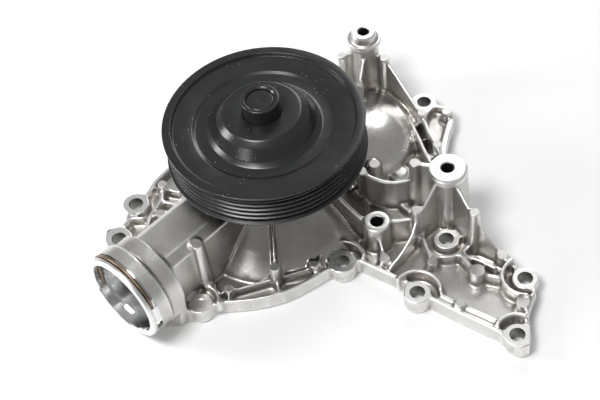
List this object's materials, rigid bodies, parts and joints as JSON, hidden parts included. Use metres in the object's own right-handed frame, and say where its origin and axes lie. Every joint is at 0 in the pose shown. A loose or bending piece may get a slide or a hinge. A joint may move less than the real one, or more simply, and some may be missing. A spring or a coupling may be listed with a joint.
{
  "type": "water pump",
  "caption": "Engine coolant pump: cast housing with hose neck and bolt flange, black grooved belt pulley, shaft bearing, face seal, impeller and hose clip.",
  "frame": {"origin": "centre of the bounding box's base, on the engine flange face", "axes": "+Z along the shaft from the flange to the pulley; +X along the long side, from the hose neck to the bolted tip; +Y towards the back tower"},
  "size_m": [0.2562, 0.2294, 0.106],
  "materials": {
    "cast_aluminium": "satin die-cast, machined bright on seats and in the neck",
    "black_coat": "gloss black coating",
    "bearing_steel": "ground",
    "spring_steel": "brown temper colour",
    "black_rubber": "matt",
    "cage_nylon": "moulded",
    "brass": "drawn",
    "carbon": "lapped",
    "ceramic": "lapped",
    "moulded_plastic": "glass-filled, matt"
  },
  "bodies": {
    "housing": {"pump_housing": "cast_aluminium", "bearing_outer_ring": "bearing_steel", "bearing_front_seal": "black_rubber", "bearing_rear_seal": "black_rubber", "seal_cup": "brass", "seal_bellows": "black_rubber", "seal_spring": "bearing_steel", "seal_carbon_ring": "carbon", "weep_hole_plug": "moulded_plastic"},
    "rotor": {"drive_shaft": "bearing_steel", "pulley": "black_coat", "pulley_hub": "black_coat", "seal_seat_ring": "ceramic", "seal_seat_gasket": "black_rubber", "impeller": "moulded_plastic", "impeller_insert": "bearing_steel"},
    "ball_row": {"ball_cage": "cage_nylon", "bearing_ball_1": "bearing_steel", "bearing_ball_2": "bearing_steel", "bearing_ball_3": "bearing_steel", "bearing_ball_4": "bearing_steel", "bearing_ball_5": "bearing_steel", "bearing_ball_6": "bearing_steel", "bearing_ball_7": "bearing_steel", "bearing_ball_8": "bearing_steel"},
    "roller_row": {"roller_cage": "cage_nylon", "bearing_roller_1": "bearing_steel", "bearing_roller_2": "bearing_steel", "bearing_roller_3": "bearing_steel", "bearing_roller_4": "bearing_steel", "bearing_roller_5": "bearing_steel", "bearing_roller_6": "bearing_steel", "bearing_roller_7": "bearing_steel", "bearing_roller_8": "bearing_steel", "bearing_roller_9": "bearing_steel", "bearing_roller_10": "bearing_steel"},
    "hose_clip": {"hose_retaining_clip": "spring_steel"}
  },
  "joints": [
    {"name": "shaft_spin", "type": "hinge", "parent": "housing", "child": "rotor", "pos_m": [-0.01564, 0.01205, 0.05], "axis": [0, 0, 1], "continuous": true},
    {"name": "ball_row_spin", "type": "hinge", "parent": "housing", "child": "ball_row", "pos_m": [-0.01564, 0.01205, 0.05], "axis": [0, 0, 1], "continuous": true},
    {"name": "roller_row_spin", "type": "hinge", "parent": "housing", "child": "roller_row", "pos_m": [-0.01564, 0.01205, 0.05], "axis": [0, 0, 1], "continuous": true},
    {"name": "clip_release", "type": "slide", "parent": "housing", "child": "hose_clip", "axis": [0, 0, 1], "range_m": [0, 0.006]}
  ],
  "couplings": [
    {"joint": "ball_row_spin", "follows": "shaft_spin", "ratio": 0.3637},
    {"joint": "roller_row_spin", "follows": "shaft_spin", "ratio": 0.3927}
  ]
}
